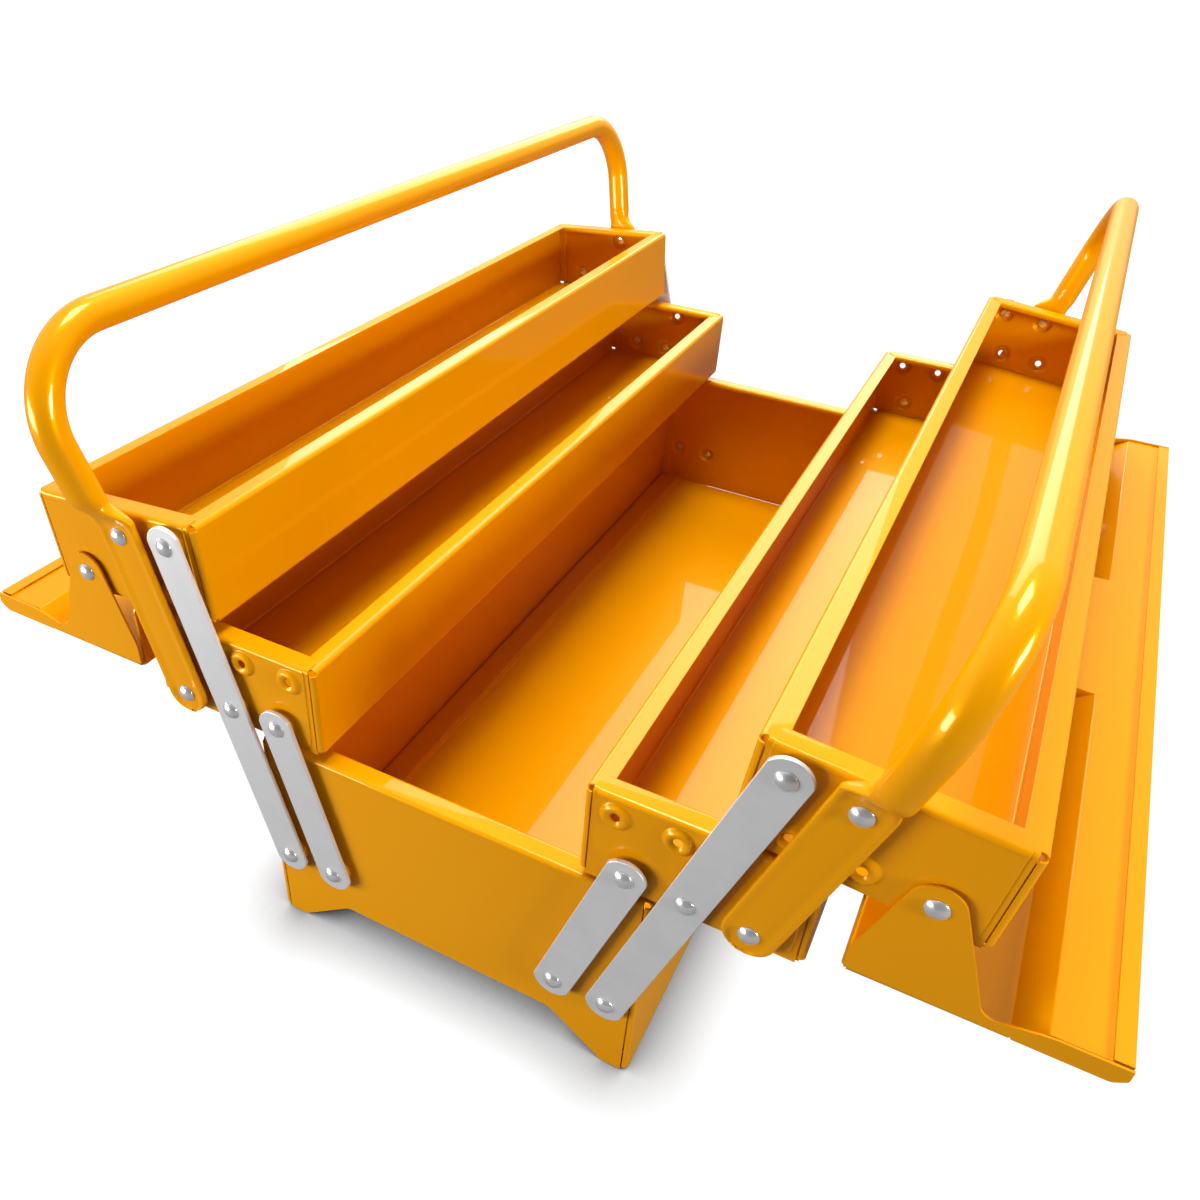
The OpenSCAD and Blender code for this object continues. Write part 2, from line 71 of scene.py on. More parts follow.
# Measures that the frame gives
BASE_LOW, BASE_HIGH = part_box("base_side_right")
BASE_L = BASE_HIGH.y - BASE_LOW.y
BASE_W = 2 * BASE_HIGH.x
BASE_H = BASE_HIGH.z
HALF_L = BASE_L / 2
TRAY_LOW, TRAY_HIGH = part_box("right_mid_tray_pan")
TRAY_W = TRAY_HIGH.x - TRAY_LOW.x
TRAY_H = TRAY_HIGH.z - TRAY_LOW.z
FLOOR_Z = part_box("base_floor")[1].z


def pivot(side, name):
    """Place of a joint across and up, mirrored to the right hand side."""
    x, _, z = JOINTS[f"{side}_{name}"]["pos_m"]
    return Vector((abs(x), 0, z))


def lean(side):
    """Lean of a side's arms from upright, in radians."""
    rise = pivot(side, "top_tray_pivot") - pivot(side, "fold")
    return math.atan2(rise.x, rise.z)


def droop(side):
    """Droop of a side's opened top tray, in radians."""
    fold = JOINTS[f"{side}_fold"]["range_deg"][1]
    tray = JOINTS[f"{side}_top_tray_pivot"]["range_deg"][0]
    return math.radians(fold + tray)


ARM_LOWER = (pivot("right", "mid_tray_pivot") - pivot("right", "fold")).length
ARM_UPPER = (pivot("right", "top_tray_pivot") - pivot("right", "mid_tray_pivot")).length
PITCH = (pivot("right", "fold") - pivot("right", "short_arm_pivot")).length
TRAY_MID_X = TRAY_W / 2

# Fits and limits that all the sheets share
STACK_GAP = 1.0 * MM        # between the folded layers
FIELD_STEP = 0.5 * MM       # how far an end plate's field stands proud
LIP_GAP = 1.2 * MM          # between a joggled edge and the folds below and above it
HOLE_R = 2.3 * MM           # of the bosses' holes
ARM_EDGE_R = 0.35 * MM      # rounding of the arms' edges
SLACK = 0.02 * MM           # lengths nearer than this agree
MERGE = 0.005 * MM          # points nearer than this are one
ROUND_STEPS = 6             # facets round a fold or a rounded corner

# Part of a handle's neck, from and to in mm from the upper rivet, over which each change takes place
NECK = {"inner edge": (4, 15), "outer edge": (4, 20), "pinch": (3, 9), "pinch ends": (9, 17),
        "rise": (2, 20), "lean": (0, 10), "rounding": (0, 22)}
NECK_PINCH = 1.2 * MM
FLAT_REACH = 1.25           # spread of a section's facets over its flat part
BEAD_RISE = (0.60, 0.92)    # shares of a flat's half width between which its trough rises to the bead

# What the rivets of each tray hold, along its lower row and then its upper one
HELD = {"mid": ("arm", "arm", "handle", None, None), "top": (None, None, "lid", "arm", "handle")}

# Turn of the camera in degrees
CAMERA_TURN = (54.151, -2.268, 27.557)

# Outline of a rivet's peened tail, in shares of its radius and height
TAIL = ((0, 1), (0.72, 1), (0.93, 0.72), (1, 0.3), (1, 0))


def length(name, description, value, low, high):
    """Property that holds a length, given in millimetres with its limits."""
    return number(name, description, value * MM, min=low * MM, max=high * MM, unit="LENGTH")


def number(name, description, value, **more):
    """Property that holds one number."""
    return FloatProperty(name=name, description=description, default=value, **more)


def triple(name, description, value, **more):
    """Property that holds three numbers, such as a place or a colour."""
    return FloatVectorProperty(name=name, description=description, default=value, size=3, **more)


def colour(name, description, value):
    """Property that holds a colour."""
    return triple(name, description, value, min=0, max=1, subtype="COLOR")


class ToolBoxSizes(bpy.types.PropertyGroup):
    """Sizes of the sheet metal that the frame doesn't give."""

    sheet: length("Sheet", "Thickness of the steel sheet", 1.0, 0.5, 1.5)
    fold_r: length("Fold radius", "Middle radius of a fold", 1.7, 1.0, 3.0)
    edge_r: length("Edge rounding", "Rounding of the painted sheet's cut edges", 0.22, 0.05, 0.4)
    rim_w: length("Rim", "Width of the rim along the long sides", 9.0, 5, 14)
    end_rim_w: length("End rim", "Width of the rim at the ends", 10.5, 5, 14)
    end_lip: length("End lip", "Drop of the end rim's lip", 3.0, 1, 6)
    foot_flange: length("Foot flange", "Width of the flange at the ground", 12.0, 8, 16)
    wrap_w: length("Corner wrap", "Width that a long side wraps round its corner", 2.8, 2.2, 5)
    slit: length("Slit", "Open slit between corner wrap and end plate", 0.6, 0.2, 0.8)
    notch_h: length("Notch", "Relief notch at the corners' top and bottom", 2.4, 1, 4)
    joggle_w: length("Joggle", "Width of the end plate's edge behind the wraps", 6.0, 4, 10)
    arch_h: length("Arch height", "Height of the arch in the base ends", 22.0, 10, 22)
    arch_run: length("Arch slope", "Run of the arch's sloping ends", 29.0, 20, 40)
    foot_w: length("Foot", "Width of each foot beside the arch", 13.5, 10, 24)
    low_row: length("Lower row", "Height of the trays' lower row of pivots", 11.1, 10, 14)
    high_row: length("Upper row", "Height of the trays' upper row of pivots", 38.9, 36, 41)
    boss_d: length("Boss", "Diameter of an embossed boss at its foot", 14.0, 12, 15)
    boss_h: length("Boss height", "Height of the bosses under arms and handles", 2.8, 2, 3.6)
    lid_boss_h: length("Lid boss height", "Height of the bosses under the lids", 1.5, 1, 2)
    gap: length("Sliding gap", "Gap between faces that slide past each other", 0.3, 0.1, 1)
    arm_w: length("Arm", "Width of the flat arms", 18.0, 14, 20)
    arm_t: length("Arm thickness", "Thickness of the flat arms", 2.0, 1.5, 3)
    arm_end_r: length("Arm end", "Radius of the arms' rounded ends", 9.6, 9.2, 11)


class ToolBoxHandles(bpy.types.PropertyGroup):
    """Sizes of the bail handles."""

    tube_d: length("Tube", "Outside diameter of the handle tube", 15.0, 12, 18)
    flat_w: length("Flat width", "Width of the flattened tube ends", 22.0, 18, 24)
    flat_t: length("Flat thickness", "Thickness of the flattened tube ends", 2.4, 1.6, 3)
    bead_r: length("Bead", "Radius of the flattened ends' rolled edges", 1.5, 1, 2)
    trough: length("Trough", "Depth of the flats' shallow trough", 1.3, 0, 2)
    grip_reach: length("Grip reach", "Reach of the grip from the upper rivet", 86.0, 80, 110)
    leg_lean: number("Leg lean", "Lean of the tube legs against the flats", math.radians(-3.3),
                     subtype="ANGLE")
    leg_offset: length("Leg offset", "Outward set of the tube from the rivets", 3.6, 0, 6)
    leg_flare: number("Leg flare", "Flare of the legs away from the ends", math.radians(8.4),
                      subtype="ANGLE")
    bend_r: length("Bend", "Bend radius of the handle corners", 39.0, 25, 45)
    neck_l: length("Neck", "Reach of the neck from the upper rivet", 17.0, 10, 30)


class ToolBoxLids(bpy.types.PropertyGroup):
    """Sizes of the lids."""

    rise: length("Rise", "Height of the raised panel over the lid pivots", 48.0, 46, 54)
    strip_w: length("Strip", "Width of the lower strip at the free edge", 26.0, 18, 32)
    step_run: length("Step", "Run of the slope between strip and panel", 11.0, 6, 14)
    recess_l: length("Recess length", "Length of the finger recess", 112.0, 80, 160)
    recess_w: length("Recess depth", "Depth of the finger recess across", 22.0, 14, 28)
    hem_w: length("Hem", "Width of the hem at the free edge", 6.5, 4, 9)
    skirt_h: length("Skirt", "Drop of the outer skirt", 35.5, 24, 36)
    ear_r: length("Ear", "Radius of the ear round the lid pivot", 10.0, 8, 11)
    clearance: length("Clearance", "Clearance of a closed lid round its tray", 0.5, 0.2, 1)


class ToolBoxRivets(bpy.types.PropertyGroup):
    """Sizes of the rivets."""

    shank_d: length("Shank", "Diameter of the shanks", 4.5, 3.5, 5)
    head_d: length("Head", "Diameter of the domed heads", 9.2, 7, 10)
    head_h: length("Head height", "Height of the domed heads", 2.3, 1.5, 3)
    tail_d: length("Tail", "Diameter of the peened tails", 6.4, 5, 7)
    tail_h: length("Tail height", "Height of the peened tails", 1.2, 0.8, 1.8)
    head_gap: length("Head gap", "Gap between a head and the piece under it", 0.1, 0.02, 0.4)
    facets: IntProperty(name="Facets", description="Facets round a rivet", default=40, min=16, max=96)


class ToolBoxFinish(bpy.types.PropertyGroup):
    """Colours of the finishes."""

    enamel: colour("Enamel", "Colour of the baked enamel", (0.73, 0.294, 0.0))
    enamel_deep: colour("Deep enamel", "Enamel where it lies thick or dusty", (0.70, 0.279, 0.0))
    enamel_gloss: colour("Gloss", "Tint of the enamel's reflections", (1.0, 0.70, 0.15))
    zinc: colour("Zinc", "Colour of the zinc plated arms", (0.73, 0.73, 0.74))
    rivet: colour("Rivet", "Colour of the rivets", (0.85, 0.85, 0.86))


class ToolBoxStage(bpy.types.PropertyGroup):
    """Camera, floor and light."""

    camera_at: triple("Camera", "Place of the camera", (0.17355, -0.52521, 0.45763),
                      subtype="TRANSLATION", unit="LENGTH")
    camera_turn: triple("Camera turn", "Turn of the camera", [math.radians(a) for a in CAMERA_TURN],
                        subtype="EULER")
    lens: number("Lens", "Focal length on a 36 mm sensor", 30.94)
    shift_x: number("Shift across", "Shift of the frame across", 0.0459)
    shift_y: number("Shift up", "Shift of the frame upwards", 0.0111)
    sky: number("Sky", "Strength of the white studio round the box", 0.22)
    white_side: triple("White side", "Way to the side that reflects whitest", (-0.5, 0.6, 0.6),
                       subtype="DIRECTION")
    dim: number("Dim side", "Strength of the studio's far side in reflections", 0.1)
    floor_glow: number("Floor glow", "Light that the camera sees in the open floor", 1.0)
    # Reach of the ambient occlusion that paints the floor's shade round the box's foot
    shadow_reach: number("Shadow reach", "How far the floor's shadow spreads", 36 * MM, unit="LENGTH")


def near(a, b):
    """Whether two lengths agree."""
    return abs(a - b) < SLACK


def smooth(start, stop, value):
    """Eased share of the way from start to stop."""
    t = max(0.0, min(1.0, (value - start) / (stop - start)))
    return t * t * (3 - 2 * t)


def even(start, stop, count):
    """Values in even steps from start to stop, both among them."""
    return [start + (stop - start) * k / count for k in range(count + 1)]


def draw_line(bm, points, closed=False):
    """Edges along a line of points, open or closed."""
    verts = [bm.verts.new(p) for p in points]
    return [bm.edges.new(pair) for pair in zip(verts, verts[1:] + (verts[:1] if closed else []))]


def bevel(bm, geom, offset, affect):
    """Rounds vertices or edges, and gives back the new vertices."""
    return bmesh.ops.bevel(bm, geom=geom, offset=offset, offset_type="OFFSET", segments=ROUND_STEPS,
                           profile=0.5, affect=affect, material=-1, clamp_overlap=False)["verts"]


def cut_outline(bm, corners, y):
    """Closed outline in an end plane. Each corner is across, up and how far its rounding reaches."""
    verts = [bm.verts.new((x, y, z)) for x, z, _ in corners]
    face = bm.faces.new(verts)
    made = list(verts)
    for v, (_, _, reach) in zip(verts, corners):
        if reach:
            made.remove(v)
            made += bevel(bm, [v], reach, "VERTICES")
    face = made[0].link_faces[0]
    edges = list(face.edges)
    bmesh.ops.delete(bm, geom=[face], context="FACES_ONLY")
    return edges


def narrow(bm, edges, amount):
    """Brings in both ends of a drawn out edge, which clips its corners."""
    verts = {v for e in edges for v in e.verts}
    low, high = min(v.co.x for v in verts) + amount, max(v.co.x for v in verts) - amount
    for v in verts:
        step = min(max(v.co.x, low), high) - v.co.x
        bmesh.ops.translate(bm, verts=[v], vec=(step, 0, 0))


def draw_out(bm, edges, moves):
    """Extends a sheet from its edges, one move after another, and gives back the last edges."""
    for move in moves:
        made = bmesh.ops.extrude_edge_only(bm, edges=edges)["geom"]
        verts = {v for v in made if isinstance(v, bmesh.types.BMVert)}
        edges = [e for e in made if isinstance(e, bmesh.types.BMEdge) and set(e.verts) <= verts]
        bmesh.ops.translate(bm, verts=list(verts), vec=move)
    return edges


def fold_moves(radius, along, towards):
    """Moves that carry an edge round a fold that starts along one way and turns square to another."""
    path = [along * radius * math.sin(a) + towards * radius * (1 - math.cos(a))
            for a in even(0, math.pi / 2, ROUND_STEPS)]
    return [b - a for a, b in zip(path, path[1:])]


def edges_where(bm, test):
    """Edges whose two ends both pass a test."""
    return [e for e in bm.edges if all(test(v.co) for v in e.verts)]


def round_folds(bm, places, radius):
    """Bevels the long edges at places across and up into folds of one middle radius."""
    edges = [e for x, z in places for e in edges_where(bm, lambda co: near(co.x, x) and near(co.z, z))]
    bm.normal_update()
    for e in [e for e in edges if e.is_valid and len(e.link_faces) == 2]:
        turn = e.calc_face_angle(0)
        if turn > math.radians(2):
            e.seam = True
    groups = {}
    for e in edges:
        if e.is_valid and e.seam:
            groups.setdefault(round(math.degrees(e.calc_face_angle(0))), []).append(e)
    for degrees, group in groups.items():
        bevel(bm, group, radius * math.tan(math.radians(degrees) / 2), "EDGES")


def add_ring(bm, centre, radius, facets):
    """Circle of edges in an end plate's plane."""
    flat = Matrix.Translation(centre) @ Matrix.Rotation(math.radians(90), 4, "X")
    made = bmesh.ops.create_circle(bm, cap_ends=False, segments=facets, radius=radius, matrix=flat)
    return list({e for v in made["verts"] for e in v.link_edges})


def emboss(bm, ring, centre, steps):
    """Draws a ring out into a boss. Each step is a radius and a height outward from the plate."""
    level = 0.0
    for radius, height in steps:
        ring = draw_out(bm, ring, [Vector((0, level - height, 0))])
        verts = list({v for e in ring for v in e.verts})
        now = verts[0].co - centre
        now.y = 0
        bmesh.ops.scale(bm, verts=verts, vec=(radius / now.length, 1, radius / now.length),
                        space=Matrix.Translation(-centre))
        level = height


def boss_steps(sizes, height, open_hole):
    """Radii and heights of an embossed boss, soft at foot and brow, dished where it has no rivet."""
    foot, slope, dish, count = sizes.boss_d / 2, 2.6 * MM, 0.55 * height, 8
    brow = foot - slope
    shares = even(0, 1, count)[1:]
    steps = [(foot - slope * t, height * t * t * (3 - 2 * t)) for t in shares]
    if not open_hole:
        return steps + [(HOLE_R, height)]
    return steps + [(brow - (brow - HOLE_R) * t, height - dish * t * t * (1.6 - 0.6 * t))
                    for t in shares]


def finish_sheet(bm, name, place, sizes, body, node):
    """Turns a middle surface into a solid sheet with rounded edges, in place on its body."""
    bmesh.ops.remove_doubles(bm, verts=bm.verts, dist=MERGE)
    bmesh.ops.recalc_face_normals(bm, faces=bm.faces)
    bmesh.ops.transform(bm, matrix=place, verts=bm.verts)
    if place.determinant() < 0:
        bmesh.ops.reverse_faces(bm, faces=bm.faces)
    piece = make_piece(bm, name, body, node, "enamel")
    wall = piece.modifiers.new("Sheet", "SOLIDIFY")
    wall.thickness, wall.offset = sizes.sheet, 0
    wall.use_even_offset = wall.use_quality_normals = True
    soften(piece, sizes.edge_r)


def finish_solid(bm, name, place, body, node, slot):
    """Puts a closed form in place on its body."""
    bmesh.ops.transform(bm, matrix=place, verts=bm.verts)
    bmesh.ops.remove_doubles(bm, verts=bm.verts, dist=MERGE)
    bmesh.ops.recalc_face_normals(bm, faces=bm.faces)
    return make_piece(bm, name, body, node, slot)


def soften(piece, width, segments=2):
    """Rounds a piece's sharp edges and keeps its flat faces flat in the light."""
    edge = piece.modifiers.new("Edges", "BEVEL")
    edge.width, edge.segments = width, segments
    edge.limit_method = "ANGLE"
    edge.angle_limit = math.radians(40)
    edge.use_clamp_overlap = True
    edge.miter_outer = "MITER_ARC"
    shade = piece.modifiers.new("Shading", "WEIGHTED_NORMAL")
    shade.keep_sharp, shade.weight = True, 60


def add_object(name, data):
    """Object in the scene for a mesh, a lamp or a camera."""
    made = bpy.data.objects.new(name, data)
    bpy.context.scene.collection.objects.link(made)
    return made


def make_piece(bm, name, body, node, slot):
    """Object from a bmesh, riding on its body and standing for its CAD node."""
    mesh = bpy.data.meshes.new(name)
    for face in bm.faces:
        face.smooth = True
    bm.to_mesh(mesh)
    bm.free()
    piece = add_object(name, mesh)
    mesh.materials.append(bpy.data.materials[MATERIALS[slot]])
    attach(piece, body)
    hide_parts(node)
    return piece


MATERIALS = {"enamel": "Baked enamel", "zinc_arm": "Zinc plate", "rivet_steel": "Bright rivet"}


def placed(side, joint, turn, across=0.0, up=0.0):
    """Puts a piece's point across and up on a joint and turns it there, mirrored for the left."""
    turned = mirrored(side) @ Matrix.Translation(pivot(side, joint)) @ Matrix.Rotation(turn, 4, "Y")
    return turned @ Matrix.Translation((-across, 0, -up))


def mirrored(side):
    """Identity on the right, mirrored across on the left."""
    return Matrix.Scale(SIDES[side], 4, (1, 0, 0))


def top_pivot_x(sizes):
    """Place of the arm pivot across the upper row of a tray."""
    rise = TRAY_H + sizes.high_row - sizes.low_row + STACK_GAP
    return TRAY_MID_X - math.sqrt(ARM_UPPER ** 2 - rise ** 2)


def tray_places(side, sizes):
    """Both opened trays of a side, each with its place from the tray's inner bottom corner."""
    mid = placed(side, "mid_tray_pivot", 0, TRAY_MID_X, sizes.low_row)
    top = placed(side, "top_tray_pivot", droop(side), top_pivot_x(sizes), sizes.high_row)
    return ("mid", mid), ("top", top)


def draw_length(bm, line, run):
    """Draws a section along the box, as far as run each way."""
    edges = draw_line(bm, [(x, -run, z) for x, z in line])
    draw_out(bm, edges, [Vector((0, 2 * run, 0))])


def wrap_corners(bm, x, inward, run, low, high, sizes):
    """Wraps a long side's web round the corner at both ends."""
    for end in (-1, 1):
        start = edges_where(bm, lambda co: near(co.x, x) and near(co.y, end * run)
                            and low - SLACK < co.z < high + SLACK)
        into = Vector((inward, 0, 0))
        moves = fold_moves(sizes.fold_r, Vector((0, end, 0)), into)
        draw_out(bm, start, moves + [into * (sizes.wrap_w - sizes.sheet / 2 - sizes.fold_r)])


def pan_sheet(sizes):
    """Middle surface of a tray pan: floor, two long sides with rims, and four corner wraps."""
    half = sizes.sheet / 2
    top = TRAY_H - half
    far = TRAY_W - half
    low, high = sizes.notch_h, TRAY_H - sizes.notch_h
    line = [(sizes.rim_w, top), (half, top), (half, high), (half, low), (half, half),
            (far, half), (far, low), (far, high), (far, top), (TRAY_W - sizes.rim_w, top)]
    run, floor_end = HALF_L - half - sizes.fold_r, HALF_L - 1.2 * sizes.sheet
    bm = bmesh.new()
    draw_length(bm, line, run)
    round_folds(bm, [(half, top), (half, half), (far, half), (far, top)], sizes.fold_r)
    wrap_corners(bm, half, 1, run, low, high, sizes)
    wrap_corners(bm, far, -1, run, low, high, sizes)
    for end in (-1, 1):
        floor = edges_where(bm, lambda co: near(co.z, half) and near(co.y, end * run)
                            and sizes.fold_r < co.x < TRAY_W - sizes.fold_r)
        draw_out(bm, floor, [Vector((0, end * (floor_end - run), 0))])
    return bm


def fill_plate(bm, edges):
    """Fills an outline and its holes in an end plane."""
    bmesh.ops.triangle_fill(bm, use_beauty=True, use_dissolve=False, edges=edges, normal=(0, -1, 0))


def stepped_plate(bm, y, x0, x1, z0, top, rings):
    """Plate whose field stands a little proud of its side and bottom edges, with holes for the rings."""
    width, foot, step, radius = 2.4 * MM, 1.0 * MM, 0.2 * MM, 5 * MM

    def field(inset):
        """Outline of the field across and up, from its top left corner round to its top right one."""
        low = z0 + foot + inset / 2
        arcs = []
        for x, s in ((x0 + inset, -1), (x1 - inset, 1)):
            turns = even(0, math.pi / 2, ROUND_STEPS)[::s]
            arcs.append([(x - s * radius * (1 - math.sin(t)), low + radius * (1 - math.cos(t)))
                         for t in turns])
        return [(x0 + inset, top)] + arcs[0] + arcs[1] + [(x1 - inset, top)]

    around = [Vector((x, y, z)) for x, z in field(width)]
    inside = [Vector((x, y - FIELD_STEP, z)) for x, z in field(width + step)]
    outside = [Vector((x, y, z)) for x, z in ((x1, top), (x1, z0), (x0, z0), (x0, top))]
    fill_plate(bm, draw_line(bm, outside + around, closed=True))
    for corners in zip(around, around[1:], inside[1:], inside):
        bm.faces.new([bm.verts.new(p) for p in corners])
    fill_plate(bm, draw_line(bm, inside, closed=True) + rings)


def end_sheet(sizes, x0, x1, z0, height, holes, end, outline=None):
    """Middle surface of an end plate at one end: plate, bosses, rim and lip."""
    half = sizes.sheet / 2
    y = HALF_L - half
    lap, bulge, rise, brow, clip = 0.45 * MM, 0.3 * MM, 0.4 * MM, 1.7 * MM, 2.6 * MM
    top = height - half + lap
    fold_top = top - brow - rise
    proud = 0 if outline else FIELD_STEP
    bm = bmesh.new()
    rings = []
    for (x, z), height_out, held in holes:
        centre = Vector((x, -y - proud, z))
        rings.append((add_ring(bm, centre, sizes.boss_d / 2, 40), centre, height_out - proud, held))
    if outline:
        draw_line(bm, [(x, -y, z) for x, z in [(x1, fold_top), (x0, fold_top)] + outline], closed=True)
        fill_plate(bm, bm.edges[:])
    else:
        stepped_plate(bm, -y, x0, x1, z0, fold_top, [e for ring, _, _, _ in rings for e in ring])
    for ring, centre, height_out, held in rings:
        emboss(bm, ring, centre, boss_steps(sizes, height_out - half, not held))
    bmesh.ops.remove_doubles(bm, verts=bm.verts, dist=MERGE)
    start = [e for e in edges_where(bm, lambda co: near(co.z, fold_top)) if e.is_boundary]
    up, into, down = Vector((0, 0, 1)), Vector((0, 1, 0)), Vector((0, 0, -1))
    flat = sizes.end_rim_w + bulge - 2 * half - brow - sizes.fold_r
    edges = draw_out(bm, start, [up * rise - into * bulge])
    edges = draw_out(bm, edges, fold_moves(brow, up, into) + [into * (flat - clip), into * clip])
    narrow(bm, edges, clip)
    draw_out(bm, edges, fold_moves(sizes.fold_r, into, down) + [down * (sizes.end_lip - sizes.fold_r)])
    if ENDS[end] > 0:
        bmesh.ops.scale(bm, verts=bm.verts, vec=(1, -1, 1))
    return bm


def add_joggles(bm, sizes, x0, x1, low, height, end):
    """Strips of an end plate's edges, set back behind the corner wraps."""
    y = ENDS[end] * (HALF_L - 1.5 * sizes.sheet)
    high = height - sizes.sheet - sizes.end_lip - LIP_GAP
    a, b = x0 + sizes.sheet, x1 - sizes.sheet
    for line in ((a, a + sizes.joggle_w), (b - sizes.joggle_w, b)):
        draw_out(bm, draw_line(bm, [(x, y, low) for x in line]), [Vector((0, 0, high - low))])


def base_holes(sizes):
    """Bosses of a base end: place, height and what is riveted there."""
    pivots = [pivot("right", "fold"), pivot("right", "short_arm_pivot")]
    return [((s * p.x, p.z), sizes.boss_h, "arm") for s in (-1, 1) for p in pivots]


def tray_holes(sizes, tray):
    """Bosses of a tray's end: place, height and what is riveted there, if anything."""
    low, high, top_x = sizes.low_row, sizes.high_row, top_pivot_x(sizes)
    places = ((TRAY_MID_X - PITCH, low), (TRAY_MID_X, low), (TRAY_MID_X + PITCH, low),
              (top_x, high), (top_x + PITCH, high))
    return [(place, sizes.lid_boss_h if held == "lid" else sizes.boss_h, held)
            for place, held in zip(places, HELD[tray])]


class TOOLBOX_OT_finishes(bpy.types.Operator):
    """Makes the enamel, zinc and rivet finishes"""

    bl_idname = "toolbox.finishes"
    bl_label = "Finishes"

    def execute(self, context):
        colours, group = context.scene.tool_box_finish, uneven_group()
        enamel_finish(colours, group)
        zinc_finish(colours, group)
        rivet_finish(colours, group)
        return {"FINISHED"}


class TOOLBOX_OT_trays(bpy.types.Operator):
    """Builds the four trays: pans and end plates"""

    bl_idname = "toolbox.trays"
    bl_label = "Trays"

    def execute(self, context):
        sizes = context.scene.tool_box_sizes
        edge = sizes.wrap_w + sizes.slit
        for side in SIDES:
            for tray, place in tray_places(side, sizes):
                body = f"{side}_{tray}_tray"
                finish_sheet(pan_sheet(sizes), f"{body}_pan_sheet", place, sizes, body, f"{body}_pan")
                for end in ENDS:
                    bm = end_sheet(sizes, edge, TRAY_W - edge, 0, TRAY_H, tray_holes(sizes, tray), end)
                    add_joggles(bm, sizes, 0, TRAY_W, sizes.sheet + LIP_GAP, TRAY_H, end)
                    finish_sheet(bm, f"{body}_{end}_plate", place, sizes, body, f"{body}_end_{end}")
        return {"FINISHED"}


class TOOLBOX_OT_base(bpy.types.Operator):
    """Builds the base: long sides, floor and arched end plates"""

    bl_idname = "toolbox.base"
    bl_label = "Base"

    def execute(self, context):
        sizes = context.scene.tool_box_sizes
        half = sizes.sheet / 2
        x, top = BASE_W / 2 - half, BASE_H - half
        low, high = sizes.notch_h, BASE_H - sizes.notch_h
        for side in SIDES:
            line = [(BASE_W / 2 - sizes.rim_w, top), (x, top), (x, high), (x, low), (x, half),
                    (BASE_W / 2 - sizes.foot_flange, half)]
            run = HALF_L - half - sizes.fold_r
            bm = bmesh.new()
            draw_length(bm, line, run)
            round_folds(bm, [(x, top), (x, half)], sizes.fold_r)
            wrap_corners(bm, x, -1, run, low, high, sizes)
            finish_sheet(bm, f"base_long_{side}", mirrored(side), sizes, "base", f"base_side_{side}")
        self.floor(sizes)
        self.ends(sizes)
        return {"FINISHED"}

    def floor(self, sizes):
        """Floor pan with its edges turned down and a shallow crease along each long side."""
        x = BASE_W / 2 - 1.5 * sizes.sheet
        z = FLOOR_Z - sizes.sheet / 2
        crease, dip = 15 * MM, 2.2 * MM
        line = [(-x, FLOOR_Z / 2), (-x, z), (-x + crease, z), (-x + crease + dip, z - dip),
                (x - crease - dip, z - dip), (x - crease, z), (x, z), (x, FLOOR_Z / 2)]
        bm = bmesh.new()
        draw_length(bm, line, HALF_L - 0.8 * sizes.sheet)
        round_folds(bm, [(-x, z), (x, z)], sizes.fold_r)
        finish_sheet(bm, "base_floor_pan", Matrix.Identity(4), sizes, "base", "base_floor")

    def ends(self, sizes):
        """End plates with an arch between two feet."""
        edge = BASE_W / 2 - sizes.wrap_w - sizes.slit
        foot = BASE_W / 2 - sizes.foot_w
        shoulder = foot - sizes.arch_run
        slope = math.atan2(sizes.arch_h, sizes.arch_run)
        rounding = 8 * MM
        corner = Vector((shoulder - rounding * math.tan(slope / 2), sizes.arch_h - rounding))
        brow = [corner + rounding * Vector((math.sin(t), math.cos(t)))
                for t in even(0, slope, ROUND_STEPS)]
        right = [(p.x, p.y) for p in brow] + [(foot, 0), (edge, 0)]
        outline = [(-px, pz) for px, pz in reversed(right)] + right
        for end in ENDS:
            bm = end_sheet(sizes, -edge, edge, 0, BASE_H, base_holes(sizes), end, outline)
            add_joggles(bm, sizes, -BASE_W / 2, BASE_W / 2, FLOOR_Z, BASE_H, end)
            finish_sheet(bm, f"base_{end}_plate", Matrix.Identity(4), sizes, "base", f"base_end_{end}")


